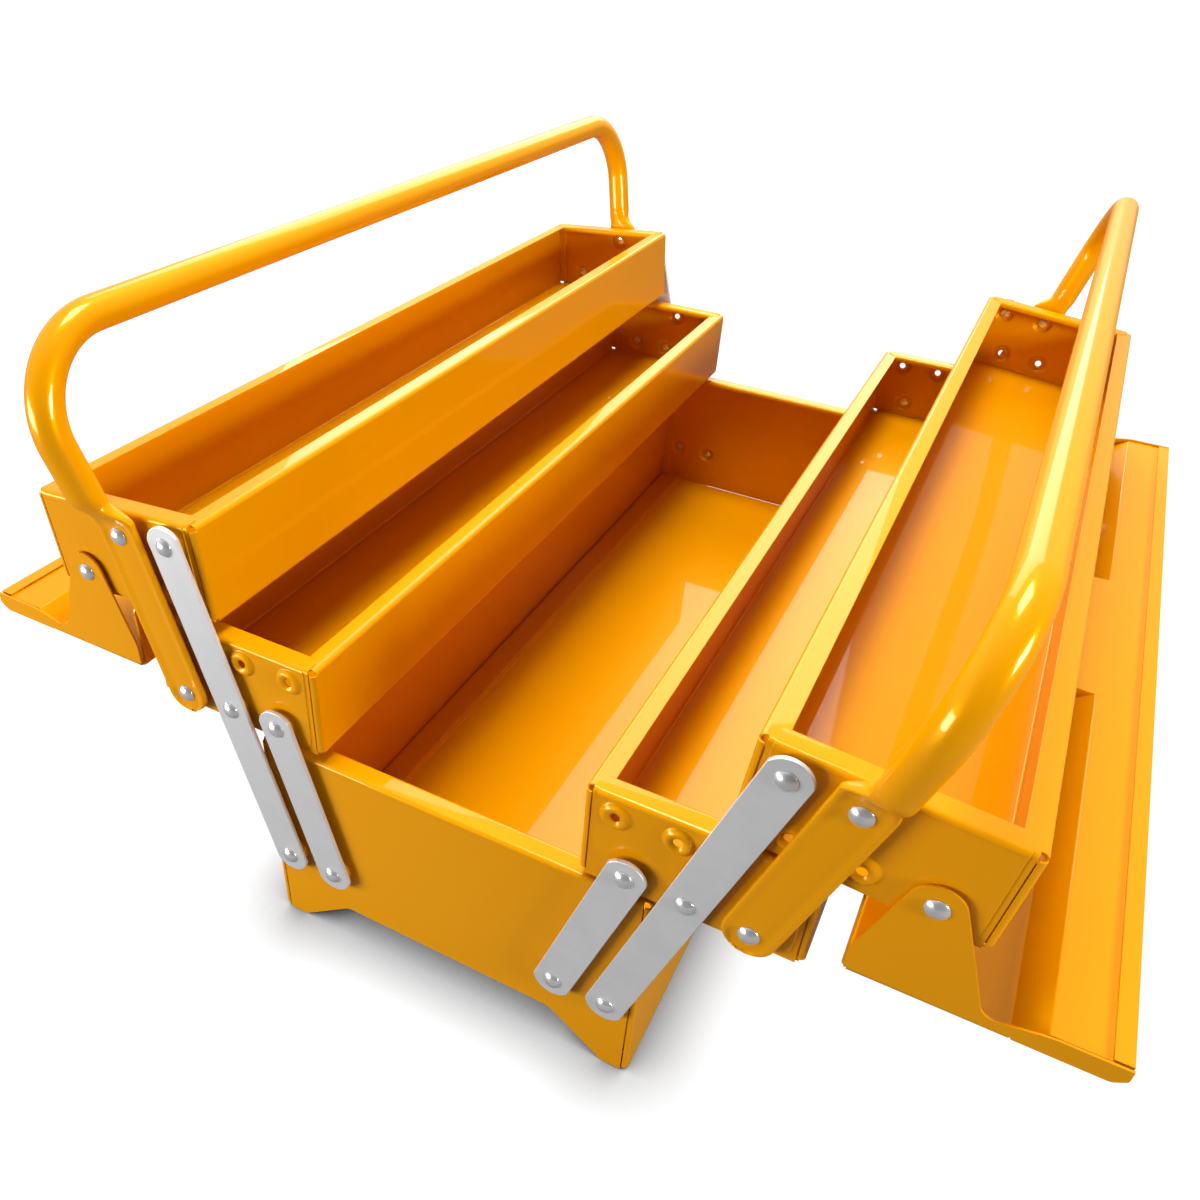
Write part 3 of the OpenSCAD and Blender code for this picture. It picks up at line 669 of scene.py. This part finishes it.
class TOOLBOX_OT_lids(bpy.types.Operator):
    """Builds the two lids, hanging open"""

    bl_idname = "toolbox.lids"
    bl_label = "Lids"

    def execute(self, context):
        sizes, lids = context.scene.tool_box_sizes, context.scene.tool_box_lids
        for side in SIDES:
            bm = self.panel(sizes, lids)
            for end in (-1, 1):
                self.flange(bm, sizes, lids, end)
            place = placed(side, "lid_pivot", math.pi, TRAY_MID_X + PITCH, sizes.low_row)
            finish_sheet(bm, f"{side}_lid_sheet", place, sizes, f"{side}_lid", f"{side}_lid")
        return {"FINISHED"}

    def levels(self, sizes, lids):
        """Middle heights of the raised panel and of the strip."""
        half = sizes.sheet / 2
        panel = sizes.low_row + lids.rise - half
        strip = TRAY_H + lids.clearance + sizes.sheet + sizes.gap / 2 + half
        return panel, strip

    def panel(self, sizes, lids):
        """Skirt, panel, step, strip and hem, with the finger recess in the middle of the step."""
        half = sizes.sheet / 2
        panel, strip = self.levels(sizes, lids)
        skirt_x, skirt_z = TRAY_W + lids.clearance + half, panel + half - lids.skirt_h
        hem = strip - sizes.sheet - sizes.gap / 2
        y_end = self.end_y(sizes) - sizes.fold_r
        a, b = lids.strip_w, lids.strip_w + lids.step_run
        line = [(lids.hem_w, hem), (half, hem), (half, strip), (a, strip), (b, panel), (skirt_x, panel),
                (skirt_x, skirt_z)]
        recess, wall, tip_r = lids.recess_l / 2, 0.8 * MM, 5 * MM
        stations = [-y_end, -recess - wall, -recess + wall, recess - wall, recess + wall, y_end]
        bm = bmesh.new()
        edges = draw_line(bm, [(x, stations[0], z) for x, z in line])
        draw_out(bm, edges, [Vector((0, q - p, 0)) for p, q in zip(stations, stations[1:])])
        inside = [v for v in bm.verts if abs(v.co.y) < recess and a - half < v.co.x < b + half]
        bmesh.ops.translate(bm, verts=inside, vec=(lids.recess_w, 0, 0))
        folds = [(a, strip), (b, panel), (a + lids.recess_w, strip), (b + lids.recess_w, panel),
                 (skirt_x, panel)]
        round_folds(bm, folds, sizes.fold_r)
        tips = [v for v in bm.verts if near(v.co.z, skirt_z) and near(abs(v.co.y), y_end)]
        bevel(bm, tips, tip_r, "VERTICES")
        return bm

    def end_y(self, sizes):
        """Middle of the lid's end flanges along the box."""
        return HALF_L + sizes.lid_boss_h + sizes.gap + sizes.sheet / 2

    def flange(self, bm, sizes, lids, end):
        """End flange folded down from the panel, with its pivot ear, notch and clipped corner."""
        half, r = sizes.sheet / 2, sizes.fold_r
        panel, strip = self.levels(sizes, lids)
        y = end * self.end_y(sizes)
        start = edges_where(bm, lambda co: near(co.z, panel) and near(co.y, y - end * r))
        draw_out(bm, start, fold_moves(r, Vector((0, end, 0)), Vector((0, 0, -1))))
        fold = [v.co.x for v in bm.verts if near(v.co.z, panel - r) and near(v.co.y, y)]
        fold_a, fold_b = min(fold), max(fold)
        pin = Vector((TRAY_MID_X + PITCH, sizes.low_row))
        out_x, top = TRAY_W + lids.clearance, panel + half
        low = strip - 1.5 * sizes.sheet - sizes.gap / 2
        ear_run, notch_rise, tip = 25.5 * MM, 5.2 * MM, 4.5 * MM
        edge, edge_run, shoulder_drop = top - 1.05 * MM, 0.8 * MM, 13 * MM
        hole_r, hole_facets, ear_facets = 2.4 * MM, 32, 14
        lean_in = math.atan2(ear_run - lids.ear_r, lids.rise - notch_rise)
        shoulder = Vector((out_x, top - shoulder_drop))
        tangent = shoulder - pin
        lean_out = math.atan2(tangent.x, tangent.y) - math.asin(lids.ear_r / tangent.length)
        ear = [pin + lids.ear_r * Vector((math.cos(t), math.sin(t)))
               for t in even(math.pi + lean_in, 2 * math.pi - lean_out, ear_facets)]
        notch_z = top - notch_rise
        notch_x = ear[0].x - (notch_z - ear[0].y) * math.tan(lean_in)
        corners = [(p.x, p.y, 0) for p in ear]
        corners += [(shoulder.x, shoulder.y, 2 * MM), (out_x, panel - r, 0),
                    (fold_b, panel - r, 0), (fold_a, panel - r, 0), (fold_a - edge_run, edge, 0),
                    (tip, edge, 1.2 * MM), (0, top - tip, 1 * MM), (0, low, 0),
                    (lids.strip_w, low, 4 * MM), (notch_x, notch_z, 5.5 * MM)]
        outline = cut_outline(bm, corners, y)
        fill_plate(bm, outline + add_ring(bm, Vector((pin.x, y, pin.y)), hole_r, hole_facets))


class TOOLBOX_OT_arms(bpy.types.Operator):
    """Builds the eight flat arms"""

    bl_idname = "toolbox.arms"
    bl_label = "Arms"

    def execute(self, context):
        sizes = context.scene.tool_box_sizes
        for side in SIDES:
            for kind, joint, span in (("long", "fold", ARM_LOWER + ARM_UPPER),
                                      ("short", "short_arm_pivot", ARM_LOWER)):
                place = placed(side, joint, lean(side))
                for end in ENDS:
                    piece = finish_solid(self.bar(sizes, span, end), f"{side}_{kind}_bar_{end}", place,
                                         f"{side}_{kind}_arms", f"{side}_{kind}_arm_{end}", "zinc_arm")
                    soften(piece, ARM_EDGE_R, 3)
        return {"FINISHED"}

    def bar(self, sizes, span, end):
        """Flat bar with rounded ends, drawn up from its lower pivot."""
        r, count = sizes.arm_end_r, 14
        reach = math.asin(sizes.arm_w / 2 / r)
        cap = [(r * math.sin(t), r * math.cos(t)) for t in even(reach, -reach, count)]
        outline = [(x, span + z) for x, z in cap] + [(-x, -z) for x, z in cap]
        near_n = HALF_L + sizes.boss_h + sizes.gap
        bm = bmesh.new()
        verts = [bm.verts.new((x, ENDS[end] * near_n, z)) for x, z in outline]
        face = bm.faces.new(verts)
        made = bmesh.ops.extrude_face_region(bm, geom=[face])["geom"]
        bmesh.ops.translate(bm, verts=[v for v in made if isinstance(v, bmesh.types.BMVert)],
                            vec=(0, ENDS[end] * sizes.arm_t, 0))
        return bm


class TOOLBOX_OT_handles(bpy.types.Operator):
    """Builds the two bail handles with their flattened ends"""

    bl_idname = "toolbox.handles"
    bl_label = "Handles"

    def execute(self, context):
        sizes, shape = context.scene.tool_box_sizes, context.scene.tool_box_handles
        for side in SIDES:
            finish_solid(self.bail(side, sizes, shape), f"{side}_bail", mirrored(side),
                         f"{side}_handle", f"{side}_handle", "enamel")
        return {"FINISHED"}

    def bail(self, side, sizes, shape):
        """Lofts one handle from its front foot over the grip to its rear foot."""
        half = self.stations(side, sizes, shape)
        rear = [(Vector((c.x, -c.y, c.z)), a, math.pi - b, w, s) for c, a, b, w, s in reversed(half)]
        bm = bmesh.new()
        turn = bm.verts.layers.float.new("turn")
        facets = 48
        made = bmesh.ops.create_circle(bm, cap_ends=True, segments=facets, radius=1 * MM)
        for v in made["verts"]:
            v[turn] = math.atan2(v.co.y, v.co.x)
        edges = list({e for v in made["verts"] for e in v.link_edges if len(e.link_faces) == 1})
        self.shape_ring(made["verts"], turn, half[0], shape)
        for station in half[1:] + rear:
            edges = draw_out(bm, edges, [Vector((0, 0, 0))])
            self.shape_ring({v for e in edges for v in e.verts}, turn, station, shape)
        bmesh.ops.edgenet_fill(bm, edges=edges)
        return bm

    def shape_ring(self, verts, turn, station, shape):
        """Puts a ring's vertices on their section: round for the tube, beaded for the flat."""
        centre, (across, upward), bend, wide, flatness = station
        tangent_n = math.sin(bend) * upward - math.cos(bend) * Vector((0, 1, 0))
        bead = min(shape.bead_r, wide)
        for v in verts:
            c, s = math.cos(v[turn]), math.sin(v[turn])
            reach = max(-1.0, min(1.0, FLAT_REACH * c))
            flat_x = (wide - bead) * reach + bead * c
            rim = smooth(*BEAD_RISE, abs(reach))
            skin = shape.flat_t / 2 + (bead - shape.flat_t / 2) * rim
            flat_n = s * skin + max(s, 0) * shape.trough * rim * bead / shape.bead_r
            x = flatness * flat_x + (1 - flatness) * wide * c
            n = flatness * flat_n + (1 - flatness) * shape.tube_d / 2 * s
            v.co = centre + across * x + tangent_n * n

    def stations(self, side, sizes, shape):
        """Sections from the front foot to the middle of the grip."""
        flat_n = sizes.boss_h + sizes.gap + shape.bead_r
        foot_n = sizes.boss_h + sizes.gap + shape.tube_d / 2 + sizes.gap
        tilt, leg_tilt = lean(side), lean(side) + shape.leg_lean
        low = pivot(side, "handle_pivot")
        upper = low + ARM_UPPER * Vector((math.sin(tilt), 0, math.cos(tilt)))

        def axes(angle):
            """Ways across and up the handle, where it leans by an angle."""
            return (Vector((math.cos(angle), 0, -math.sin(angle))),
                    Vector((math.sin(angle), 0, math.cos(angle))))

        def at(s, across, n, angle):
            """Point that lies s up from the upper rivet, so far across, and n out from the trays' end."""
            x_axis, z_axis = axes(angle)
            return upper + s * z_axis + across * x_axis - Vector((0, HALF_L + n, 0))

        def flat(s, half_width):
            """Section of the flattened end."""
            return at(s, 0, flat_n, tilt), axes(tilt), 0.0, half_width, 1.0

        wide, bead, tube_r = shape.flat_w / 2, shape.bead_r, shape.tube_d / 2
        rows = [flat(-ARM_UPPER - (wide - bead) - bead * math.sin(t), bead * math.cos(t))
                for t in even(math.pi / 2, 0, 5)[1:]]
        rows += [flat(-ARM_UPPER - (wide - bead) * math.sin(t), bead + (wide - bead) * math.cos(t))
                 for t in even(math.pi / 2, 0, 12)[1:]]
        rows += [flat(s, wide) for s in (-ARM_UPPER / 2, -8 * MM, -3 * MM)]
        for s in even(0, shape.neck_l + 5 * MM, 28):
            part = {change: smooth(a * MM, b * MM, s) for change, (a, b) in NECK.items()}
            inner = -wide + (shape.leg_offset - tube_r + wide) * part["inner edge"]
            outer = wide + (shape.leg_offset + tube_r - wide) * part["outer edge"]
            outer -= NECK_PINCH * part["pinch"] * (1 - part["pinch ends"])
            flare = max(0.0, s - shape.neck_l) * math.tan(shape.leg_flare)
            n = flat_n + (foot_n - flat_n) * part["rise"] + flare
            angle = tilt + (leg_tilt - tilt) * part["lean"]
            rows.append((at(s, (inner + outer) / 2, n, angle), axes(angle),
                         -shape.leg_flare * part["rise"], (outer - inner) / 2, 1 - part["rounding"]))
        arc_s = shape.grip_reach - shape.bend_r
        leg_end_s = arc_s - shape.bend_r * math.sin(shape.leg_flare)
        leg_end_n = foot_n + (leg_end_s - shape.neck_l) * math.tan(shape.leg_flare)
        arc_n = leg_end_n - shape.bend_r * math.cos(shape.leg_flare)
        for bend in even(-shape.leg_flare, math.pi / 2, 24):
            s = arc_s + shape.bend_r * math.sin(bend)
            n = arc_n + shape.bend_r * math.cos(bend)
            rows.append((at(s, shape.leg_offset, n, leg_tilt), axes(leg_tilt), bend, tube_r, 0.0))
        return rows


class TOOLBOX_OT_rivets(bpy.types.Operator):
    """Builds the rivets of the base and of the four trays"""

    bl_idname = "toolbox.rivets"
    bl_label = "Rivets"

    def execute(self, context):
        sizes, rivets = context.scene.tool_box_sizes, context.scene.tool_box_rivets
        shape = context.scene.tool_box_handles
        stacks = {"arm": sizes.arm_t, "handle": shape.bead_r + shape.flat_t / 2, "lid": sizes.sheet}
        self.group("base", base_holes(sizes), Matrix.Identity(4), stacks, sizes, rivets)
        for side in SIDES:
            for tray, place in tray_places(side, sizes):
                self.group(f"{side}_{tray}_tray", tray_holes(sizes, tray), place, stacks, sizes, rivets)
        return {"FINISHED"}

    def group(self, body, holes, place, stacks, sizes, rivets):
        """All the rivets of one body, as one piece. stacks gives the thickness of what they hold."""
        bm = bmesh.new()
        for (x, z), boss, held in holes:
            if held:
                head = boss + sizes.gap + stacks[held] + rivets.head_gap
                for end in ENDS.values():
                    self.rivet(bm, x, z, boss, head, end, sizes, rivets)
        finish_solid(bm, f"{body}_rivet_set", place, body, f"{body}_rivets", "rivet_steel")

    def rivet(self, bm, x, z, boss, head, end, sizes, rivets):
        """One rivet spun from its outline: peened tail, shank and domed head."""
        r, h, count = rivets.head_d / 2, rivets.head_h, 10
        dome = (r * r + h * h) / (2 * h)
        half_turn = math.asin(r / dome)
        cap = [(dome * math.sin(t), head + h - dome * (1 - math.cos(t)))
               for t in even(half_turn, 0, count)[1:]]
        seat, shank = boss - sizes.sheet, rivets.shank_d / 2
        tail = [(a * rivets.tail_d / 2, seat - b * rivets.tail_h) for a, b in TAIL]
        outline = tail + [(shank, seat), (shank, head), (r, head)] + cap
        edges = draw_line(bm, [(x + a, end * (HALF_L + b), z) for a, b in outline])
        verts = list({v for e in edges for v in e.verts})
        bmesh.ops.spin(bm, geom=verts + edges, cent=(x, 0, z), axis=(0, 1, 0), dvec=(0, 0, 0),
                       angle=2 * math.pi, steps=rivets.facets, use_merge=True, use_duplicate=False)


class TOOLBOX_OT_stage(bpy.types.Operator):
    """Sets the camera, the pale floor, the white studio and its lamps"""

    bl_idname = "toolbox.stage"
    bl_label = "Stage"

    def execute(self, context):
        stage = context.scene.tool_box_stage
        scene = context.scene
        scene.view_settings.view_transform = "Standard"
        lens = bpy.data.cameras.new("photo_camera")
        lens.sensor_fit, lens.sensor_width, lens.lens = "HORIZONTAL", 36, stage.lens
        lens.shift_x, lens.shift_y = stage.shift_x, stage.shift_y
        lens.clip_start, lens.clip_end = 0.01, 50
        scene.camera = add_object("photo_camera", lens)
        scene.camera.location, scene.camera.rotation_euler = stage.camera_at, stage.camera_turn
        self.floor(stage)
        self.sky(stage)
        self.lamps()
        return {"FINISHED"}

    def floor(self, stage):
        """Wide white floor that keeps the box's shadow and meets the white sky unseen. Near the box its
        glow fades by ambient occlusion, which paints a shade round the box's foot.
        """
        reach, grey, mirrored_share, dark_share = 6, 0.07, 0.15, 0.3
        mesh = bpy.data.meshes.new("studio_floor")
        bm = bmesh.new()
        bmesh.ops.create_circle(bm, cap_ends=True, segments=64, radius=reach)
        bm.to_mesh(mesh)
        bm.free()
        floor = add_object("studio_floor", mesh)
        floor.location.z = -0.4 * MM
        paper, tree, shader = new_finish("Studio paper")
        set_inputs(shader, {"Base Color": (grey, grey, grey, 1), "Roughness": 0.9,
                            "Specular IOR Level": 0.1})
        path = add_node(tree, "LightPath").outputs
        mirrored = add_node(tree, "Math", {1: mirrored_share}, {0: path["Is Glossy Ray"]},
                            operation="MULTIPLY")
        seen = add_node(tree, "Math", {}, {0: path["Is Camera Ray"], 1: mirrored.outputs[0]},
                        operation="MAXIMUM")
        # Painted shade: ambient occlusion dims the floor's glow near the box, so the floor darkens round
        # its foot on top of the real shadow.
        open_air = add_node(tree, "AmbientOcclusion", {"Distance": stage.shadow_reach})
        painted_shade_fade = add_node(tree, "MapRange", {"From Min": dark_share, "To Max": stage.floor_glow},
                        {"Value": open_air.outputs["AO"]})
        lift = add_node(tree, "Math", {}, {0: seen.outputs[0], 1: painted_shade_fade.outputs[0]},
                        operation="MULTIPLY")
        glow = add_node(tree, "Emission", {}, {"Strength": lift.outputs[0]})
        both = add_node(tree, "AddShader", {}, {0: shader.outputs[0], 1: glow.outputs[0]})
        wire(tree, both.outputs[0], tree.nodes["Material Output"].inputs["Surface"])
        mesh.materials.append(paper)

    def sky(self, stage):
        """White studio: white to the camera and in reflections, where it dims towards the front right."""
        white_from, dim_from = 0.7, -0.1
        world = bpy.data.worlds.new("Studio")
        bpy.context.scene.world = world
        world.use_nodes = True
        tree = world.node_tree
        white = {"Color": (1, 1, 1, 1), "Strength": 1.0}
        soft = tree.nodes["Background"]
        set_inputs(soft, {**white, "Strength": stage.sky})
        way = add_node(tree, "TexCoord")
        facing = add_node(tree, "VectorMath", {1: Vector(stage.white_side).normalized()},
                          {0: way.outputs["Generated"]}, operation="DOT_PRODUCT")
        shade = add_node(tree, "MapRange", {"From Min": white_from, "From Max": dim_from, "To Min": 1.0,
                                            "To Max": stage.dim}, {"Value": facing.outputs["Value"]})
        mirrored = add_node(tree, "Background", white, {"Strength": shade.outputs[0]})
        seen = add_node(tree, "Background", white)
        path = add_node(tree, "LightPath").outputs
        last = soft.outputs[0]
        for ray, back in (("Is Glossy Ray", mirrored), ("Is Camera Ray", seen)):
            mix = add_node(tree, "MixShader", {}, {0: path[ray], 1: last, 2: back.outputs[0]})
            last = mix.outputs[0]
        wire(tree, last, tree.nodes["World Output"].inputs["Surface"])

    def lamps(self):
        """Soft boxes: low on the front left, broad behind, small on the right, and one overhead."""
        # Name, width and depth, watts, place, and the height that it aims at
        for name, size, power, at, aim_z in (
                ("front_box", (0.9, 0.35), 23, (-1.0, -1.2, 0.2), 0.15),
                ("rear_box", (1.5, 1.0), 24, (-0.56, 1.17, 1.05), 0.15),
                ("right_box", (0.5, 0.3), 20, (1.35, -0.4, 0.6), 0.15),
                ("top_box", (0.6, 0.6), 26, (-0.1, 0.1, 1.6), 0.0)):
            lamp = bpy.data.lights.new(name, "AREA")
            lamp.shape, lamp.energy = "RECTANGLE", power
            lamp.size, lamp.size_y = size
            holder = add_object(name, lamp)
            holder.location = at
            way = Vector((0, 0, aim_z)) - Vector(at)
            holder.rotation_euler = way.to_track_quat("-Z", "Y").to_euler()


def wire(tree, a, b):
    """Links an output to an input."""
    tree.links.new(a, b)


def set_inputs(node, values):
    """Sets a node's unlinked inputs."""
    for key, value in values.items():
        node.inputs[key].default_value = value


def add_node(tree, kind, values=None, feeds=None, **settings):
    """New node with its settings, the values of its inputs and the outputs that feed the others."""
    node = tree.nodes.new("ShaderNode" + kind)
    for key, value in settings.items():
        setattr(node, key, value)
    set_inputs(node, values or {})
    for key, source in (feeds or {}).items():
        wire(tree, source, node.inputs[key])
    return node


def uneven_group():
    """Soft unevenness of a coating: a slow mask for its depth and a fine height for its skin."""
    group = bpy.data.node_groups.new("Coating unevenness", "ShaderNodeTree")
    given, out = group.nodes.new("NodeGroupInput"), group.nodes.new("NodeGroupOutput")
    place, sockets = add_node(group, "TexCoord"), group.interface
    for scale, value, mask, detail in (("Slow Scale", 14.0, "Depth", 3.0),
                                       ("Fine Scale", 900.0, "Skin", 1.0)):
        taken = sockets.new_socket(scale, in_out="INPUT", socket_type="NodeSocketFloat")
        taken.default_value = value
        sockets.new_socket(mask, in_out="OUTPUT", socket_type="NodeSocketFloat")
        noise = add_node(group, "TexNoise", {"Detail": detail},
                         {"Vector": place.outputs["Object"], "Scale": given.outputs[scale]})
        wire(group, noise.outputs["Fac"], out.inputs[mask])
    return group


def new_finish(name):
    """Material with its shader, ready for more nodes."""
    material = bpy.data.materials.new(name)
    material.use_nodes = True
    return material, material.node_tree, material.node_tree.nodes["Principled BSDF"]


def eased_mask(tree, mask, low, high):
    """Carries the middle of a mask softly into another range."""
    return add_node(tree, "MapRange", {"From Min": 0.2, "From Max": 0.8, "To Min": low, "To Max": high},
                    {"Value": mask}, interpolation_type="SMOOTHSTEP").outputs[0]


def coating(slot, group, scales, thin, deep, roughness, skin, **values):
    """Finish of a coated metal.

    Its depth mixes two colours and two roughnesses. scales are those of the depth and of the skin,
    and skin gives the height of the bumps and their strength.
    """
    _, tree, shader = new_finish(MATERIALS[slot])
    uneven = add_node(tree, "Group", {"Slow Scale": scales[0], "Fine Scale": scales[1]},
                      node_tree=group).outputs
    mix = add_node(tree, "Mix", {"A": (*thin, 1), "B": (*deep, 1)},
                   {"Factor": eased_mask(tree, uneven["Depth"], 0.0, 1.0)}, data_type="RGBA")
    bump = add_node(tree, "Bump", {"Distance": skin[0], "Strength": skin[1]}, {"Height": uneven["Skin"]})
    wire(tree, mix.outputs["Result"], shader.inputs["Base Color"])
    wire(tree, eased_mask(tree, uneven["Depth"], *roughness), shader.inputs["Roughness"])
    wire(tree, bump.outputs[0], shader.inputs["Normal"])
    set_inputs(shader, {name.replace("_", " "): value for name, value in values.items()})


def enamel_finish(colours, group):
    """Thick glossy baked enamel with a faint orange peel."""
    coating("enamel", group, scales=(5.0, 350.0), thin=colours.enamel, deep=colours.enamel_deep,
            roughness=(0.29, 0.35), skin=(0.04 * MM, 0.12), Specular_IOR_Level=0.03,
            Specular_Tint=(*colours.enamel_gloss, 1), Metallic=0.12, Coat_Weight=0.33,
            Coat_Roughness=0.03)


def zinc_finish(colours, group):
    """Pale zinc plate, cloudy and softly blurred."""
    coating("zinc_arm", group, scales=(45.0, 700.0), thin=colours.zinc,
            deep=[0.88 * c for c in colours.zinc], roughness=(0.34, 0.44), skin=(0.03 * MM, 0.2),
            Metallic=0.5)


def rivet_finish(colours, group):
    """Bright plated rivet steel, faintly marked by its set."""
    coating("rivet_steel", group, scales=(160.0, 900.0), thin=colours.rivet,
            deep=[0.8 * c for c in colours.rivet], roughness=(0.19, 0.26), skin=(0.03 * MM, 0.2),
            Metallic=0.75)


class TOOLBOX_PT_panel(bpy.types.Panel):
    """Lists the sizes and the steps that build the tool box"""

    bl_label = "Tool Box"
    bl_idname = "TOOLBOX_PT_panel"
    bl_space_type = "VIEW_3D"
    bl_region_type = "UI"
    bl_category = "Tool Box"

    def draw(self, context):
        for name in PROPERTY_GROUPS:
            group = getattr(context.scene, name)
            box = self.layout.box()
            box.label(text=type(group).__doc__)
            for key in group.__annotations__:
                box.prop(group, key)
        for operator in OPERATORS:
            self.layout.operator(operator.bl_idname)


PROPERTY_GROUPS = {
    "tool_box_sizes": ToolBoxSizes,
    "tool_box_handles": ToolBoxHandles,
    "tool_box_lids": ToolBoxLids,
    "tool_box_rivets": ToolBoxRivets,
    "tool_box_finish": ToolBoxFinish,
    "tool_box_stage": ToolBoxStage,
}
OPERATORS = (
    TOOLBOX_OT_stage,
    TOOLBOX_OT_finishes,
    TOOLBOX_OT_base,
    TOOLBOX_OT_trays,
    TOOLBOX_OT_lids,
    TOOLBOX_OT_arms,
    TOOLBOX_OT_handles,
    TOOLBOX_OT_rivets,
)


def register():
    """Adds the classes to Blender and the sizes to its scenes."""
    for cls in (*PROPERTY_GROUPS.values(), *OPERATORS, TOOLBOX_PT_panel):
        bpy.utils.register_class(cls)
    for name, cls in PROPERTY_GROUPS.items():
        setattr(bpy.types.Scene, name, PointerProperty(type=cls))


def unregister():
    """Takes them out again."""
    for name in PROPERTY_GROUPS:
        delattr(bpy.types.Scene, name)
    for cls in (TOOLBOX_PT_panel, *reversed(OPERATORS), *reversed(PROPERTY_GROUPS.values())):
        bpy.utils.unregister_class(cls)


def main():
    """Builds the tool box."""
    register()
    bpy.ops.toolbox.stage()
    bpy.ops.toolbox.finishes()
    bpy.ops.toolbox.base()
    bpy.ops.toolbox.trays()
    bpy.ops.toolbox.lids()
    bpy.ops.toolbox.arms()
    bpy.ops.toolbox.handles()
    bpy.ops.toolbox.rivets()


if __name__ == "__main__":
    main()
